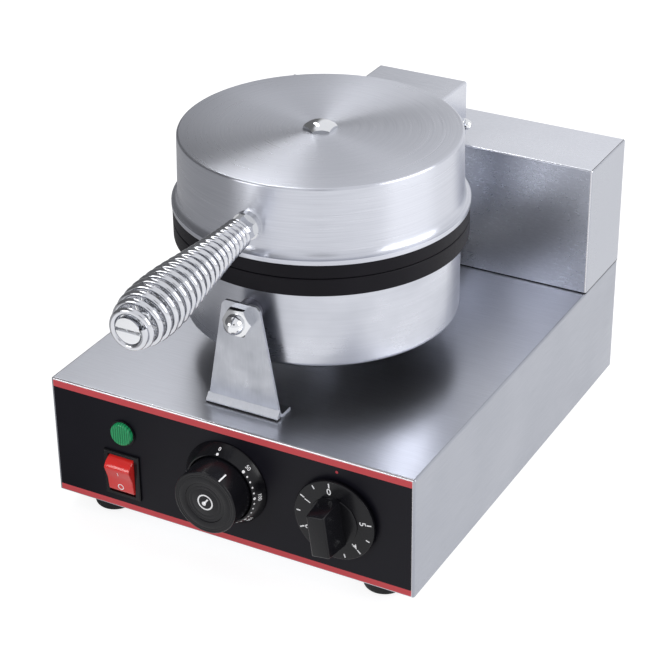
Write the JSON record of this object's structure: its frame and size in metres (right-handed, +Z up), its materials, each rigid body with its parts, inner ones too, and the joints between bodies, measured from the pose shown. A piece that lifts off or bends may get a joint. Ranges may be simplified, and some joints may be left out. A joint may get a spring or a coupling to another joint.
{
  "type": "electric krumkake iron",
  "caption": "Countertop electric krumkake iron: hinged round lid and heated plates over a flat steel base with dial controls, a rocker switch and a coil-spring handle.",
  "frame": {"origin": "on the table under the centre of the bounding box; the machine is symmetric about X = 0 apart from its controls and mains inlet", "axes": "+X to the right seen from the front, +Y towards the rear box, +Z up; the control panel and handle face -Y"},
  "size_m": [0.26, 0.434, 0.2543],
  "materials": {
    "steel": "brushed stainless sheet",
    "spun_steel": "spun stainless lid",
    "bright_steel": "bright plated hardware",
    "plate_black": "black non-stick coating",
    "overlay_black": "black film with a red stripe at its top and bottom",
    "black_plastic": "satin black",
    "red_plastic": "gloss red",
    "green_lens": "clear green, ribbed inside",
    "black_rubber": "matt",
    "insulation": "fibre pad",
    "white_plastic": "moulded",
    "brass": "plain"
  },
  "bodies": {
    "base": {"deck_sheet": "steel", "front_sheet": "steel", "back_sheet": "steel", "side_left": "steel", "side_right": "steel", "bottom_plate": "steel", "cover_screws": "bright_steel", "foot_screws": "bright_steel", "foot_nuts": "bright_steel", "rear_box": "steel", "rear_cover": "steel", "cable_gland": "black_plastic", "gland_nut": "black_plastic", "terminal_block": "white_plastic", "lower_pan": "steel", "lower_plate": "plate_black", "lower_heater": "bright_steel", "lower_insulation": "insulation", "lower_center_bolt": "bright_steel", "front_bracket": "steel", "bracket_screws": "bright_steel", "bracket_spacer": "bright_steel", "bracket_bolt": "bright_steel", "bracket_cap_nut": "bright_steel", "hinge_bracket": "steel", "hinge_bracket_bolts": "bright_steel", "hinge_bracket_nuts": "bright_steel", "front_overlay": "overlay_black", "indicator_body": "black_plastic", "indicator_nut": "black_plastic", "indicator_lens": "green_lens", "switch_body": "black_plastic", "switch_terminals": "brass", "control_screws": "bright_steel", "thermostat_body": "black_plastic", "thermostat_bezel": "black_plastic", "timer_body": "black_plastic", "foot_front_left": "black_rubber", "foot_front_right": "black_rubber", "foot_back_left": "black_rubber", "foot_back_right": "black_rubber"},
    "lid": {"hinge_pin": "bright_steel", "hinge_washers": "white_plastic", "hinge_cap_nuts": "bright_steel", "hinge_cover": "steel", "lid_shell": "spun_steel", "lid_plate": "plate_black", "lid_heater": "bright_steel", "lid_insulation": "insulation", "lid_center_stud": "bright_steel", "lid_center_nut": "bright_steel", "handle_washer": "bright_steel", "handle_nuts": "bright_steel", "handle_rod": "bright_steel", "handle_coil": "bright_steel"},
    "thermostat_dial": {"thermostat_knob": "black_plastic", "thermostat_shaft": "bright_steel"},
    "timer_dial": {"timer_knob": "black_plastic", "timer_shaft": "bright_steel"},
    "power_rocker": {"rocker": "red_plastic"}
  },
  "joints": [
    {"name": "lid_hinge", "type": "hinge", "parent": "base", "child": "lid", "pos_m": [0, 0.141, 0.2045], "axis": [-1, 0, 0], "range_deg": [0, 100]},
    {"name": "thermostat_turn", "type": "hinge", "parent": "base", "child": "thermostat_dial", "pos_m": [0, -0.12949, 0.0568], "axis": [0, 1, 0], "range_deg": [-30, 240]},
    {"name": "timer_turn", "type": "hinge", "parent": "base", "child": "timer_dial", "pos_m": [0.078, -0.12949, 0.0552], "axis": [0, 1, 0], "range_deg": [0, 258]},
    {"name": "rocker_tilt", "type": "hinge", "parent": "base", "child": "power_rocker", "pos_m": [-0.0782, -0.1165, 0.039], "axis": [-1, 0, 0], "range_deg": [0, 28]}
  ]
}
